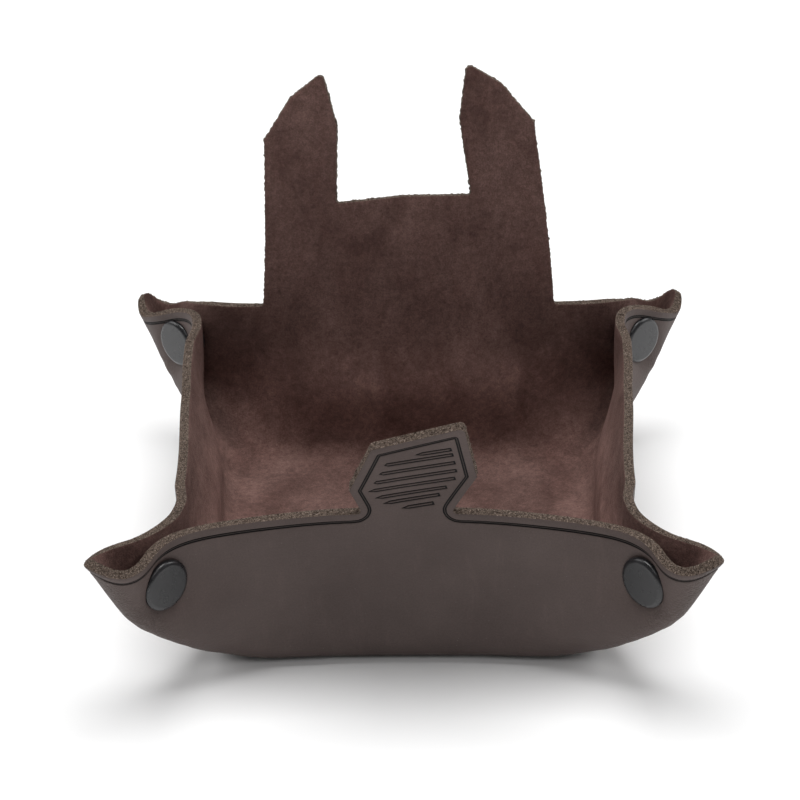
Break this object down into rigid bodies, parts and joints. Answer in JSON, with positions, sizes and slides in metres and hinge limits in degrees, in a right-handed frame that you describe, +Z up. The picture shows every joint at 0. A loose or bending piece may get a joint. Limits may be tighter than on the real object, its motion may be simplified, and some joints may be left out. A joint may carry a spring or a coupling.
{
  "type": "snap-corner dice tray",
  "caption": "Folding leather tray for rolling dice, held in shape by snapped corners, with a tall two-pronged back panel and a ribbed front tab.",
  "frame": {"origin": "centre of the floor's underside, where the tray rests on the table", "axes": "+X to the right, +Y from the front wall to the tall back wall, +Z up"},
  "size_m": [0.1446, 0.1457, 0.1037],
  "materials": {
    "leather": "smooth matte dark grain outside, brown suede inside, raw cut edges",
    "snap_metal": "black lacquer, satin"
  },
  "bodies": {
    "base": {"base_panel": "leather"},
    "back_wall": {"back_wall": "leather"},
    "front_wall": {"front_wall": "leather"},
    "left_wall": {"left_wall": "leather"},
    "right_wall": {"right_wall": "leather"},
    "front_left_cap_flap": {"front_left_cap_flap": "leather", "front_left_cap": "snap_metal", "front_left_socket": "snap_metal"},
    "front_left_stud_flap": {"front_left_stud_flap": "leather", "front_left_stud": "snap_metal", "front_left_post": "snap_metal"},
    "front_right_cap_flap": {"front_right_cap_flap": "leather", "front_right_cap": "snap_metal", "front_right_socket": "snap_metal"},
    "front_right_stud_flap": {"front_right_stud_flap": "leather", "front_right_stud": "snap_metal", "front_right_post": "snap_metal"},
    "back_right_cap_flap": {"back_right_cap_flap": "leather", "back_right_cap": "snap_metal", "back_right_socket": "snap_metal"},
    "back_right_stud_flap": {"back_right_stud_flap": "leather", "back_right_stud": "snap_metal", "back_right_post": "snap_metal"},
    "back_left_cap_flap": {"back_left_cap_flap": "leather", "back_left_cap": "snap_metal", "back_left_socket": "snap_metal"},
    "back_left_stud_flap": {"back_left_stud_flap": "leather", "back_left_stud": "snap_metal", "back_left_post": "snap_metal"}
  },
  "joints": [
    {"name": "back_fold", "type": "hinge", "parent": "base", "child": "back_wall", "pos_m": [0, 0.039, 0.0013], "axis": [-1, 0, 0], "range_deg": [0, 72]},
    {"name": "front_fold", "type": "hinge", "parent": "base", "child": "front_wall", "pos_m": [0, -0.039, 0.0013], "axis": [1, 0, 0], "range_deg": [0, 72]},
    {"name": "left_fold", "type": "hinge", "parent": "base", "child": "left_wall", "pos_m": [-0.039, 0, 0.0013], "axis": [0, -1, 0], "range_deg": [0, 72]},
    {"name": "right_fold", "type": "hinge", "parent": "base", "child": "right_wall", "pos_m": [0.039, 0, 0.0013], "axis": [0, 1, 0], "range_deg": [0, 72]},
    {"name": "front_left_cap_flap_fold", "type": "hinge", "parent": "front_wall", "child": "front_left_cap_flap", "pos_m": [-0.04236, -0.04491, 0.01947], "axis": [0.2952, 0.2952, -0.9087], "range_deg": [0, 47.74]},
    {"name": "front_left_stud_flap_fold", "type": "hinge", "parent": "left_wall", "child": "front_left_stud_flap", "pos_m": [-0.04491, -0.04236, 0.01947], "axis": [-0.2952, -0.2952, 0.9087], "range_deg": [0, 47.74]},
    {"name": "front_right_cap_flap_fold", "type": "hinge", "parent": "front_wall", "child": "front_right_cap_flap", "pos_m": [0.04236, -0.04491, 0.01947], "axis": [0.2952, -0.2952, 0.9087], "range_deg": [0, 47.74]},
    {"name": "front_right_stud_flap_fold", "type": "hinge", "parent": "right_wall", "child": "front_right_stud_flap", "pos_m": [0.04491, -0.04236, 0.01947], "axis": [-0.2952, 0.2952, -0.9087], "range_deg": [0, 47.74]},
    {"name": "back_right_cap_flap_fold", "type": "hinge", "parent": "right_wall", "child": "back_right_cap_flap", "pos_m": [0.04491, 0.04236, 0.01947], "axis": [0.2952, 0.2952, 0.9087], "range_deg": [0, 47.74]},
    {"name": "back_right_stud_flap_fold", "type": "hinge", "parent": "back_wall", "child": "back_right_stud_flap", "pos_m": [0.04236, 0.04491, 0.01947], "axis": [-0.2952, -0.2952, -0.9087], "range_deg": [0, 47.74]},
    {"name": "back_left_cap_flap_fold", "type": "hinge", "parent": "left_wall", "child": "back_left_cap_flap", "pos_m": [-0.04491, 0.04236, 0.01947], "axis": [0.2952, -0.2952, -0.9087], "range_deg": [0, 47.74]},
    {"name": "back_left_stud_flap_fold", "type": "hinge", "parent": "back_wall", "child": "back_left_stud_flap", "pos_m": [-0.04236, 0.04491, 0.01947], "axis": [-0.2952, 0.2952, 0.9087], "range_deg": [0, 47.74]}
  ],
  "couplings": [
    {"joint": "front_fold", "follows": "back_fold", "ratio": 1},
    {"joint": "left_fold", "follows": "back_fold", "ratio": 1},
    {"joint": "right_fold", "follows": "back_fold", "ratio": 1},
    {"joint": "front_left_cap_flap_fold", "follows": "back_fold", "ratio": 0.66305},
    {"joint": "front_left_stud_flap_fold", "follows": "back_fold", "ratio": 0.66305},
    {"joint": "front_right_cap_flap_fold", "follows": "back_fold", "ratio": 0.66305},
    {"joint": "front_right_stud_flap_fold", "follows": "back_fold", "ratio": 0.66305},
    {"joint": "back_right_cap_flap_fold", "follows": "back_fold", "ratio": 0.66305},
    {"joint": "back_right_stud_flap_fold", "follows": "back_fold", "ratio": 0.66305},
    {"joint": "back_left_cap_flap_fold", "follows": "back_fold", "ratio": 0.66305},
    {"joint": "back_left_stud_flap_fold", "follows": "back_fold", "ratio": 0.66305}
  ]
}
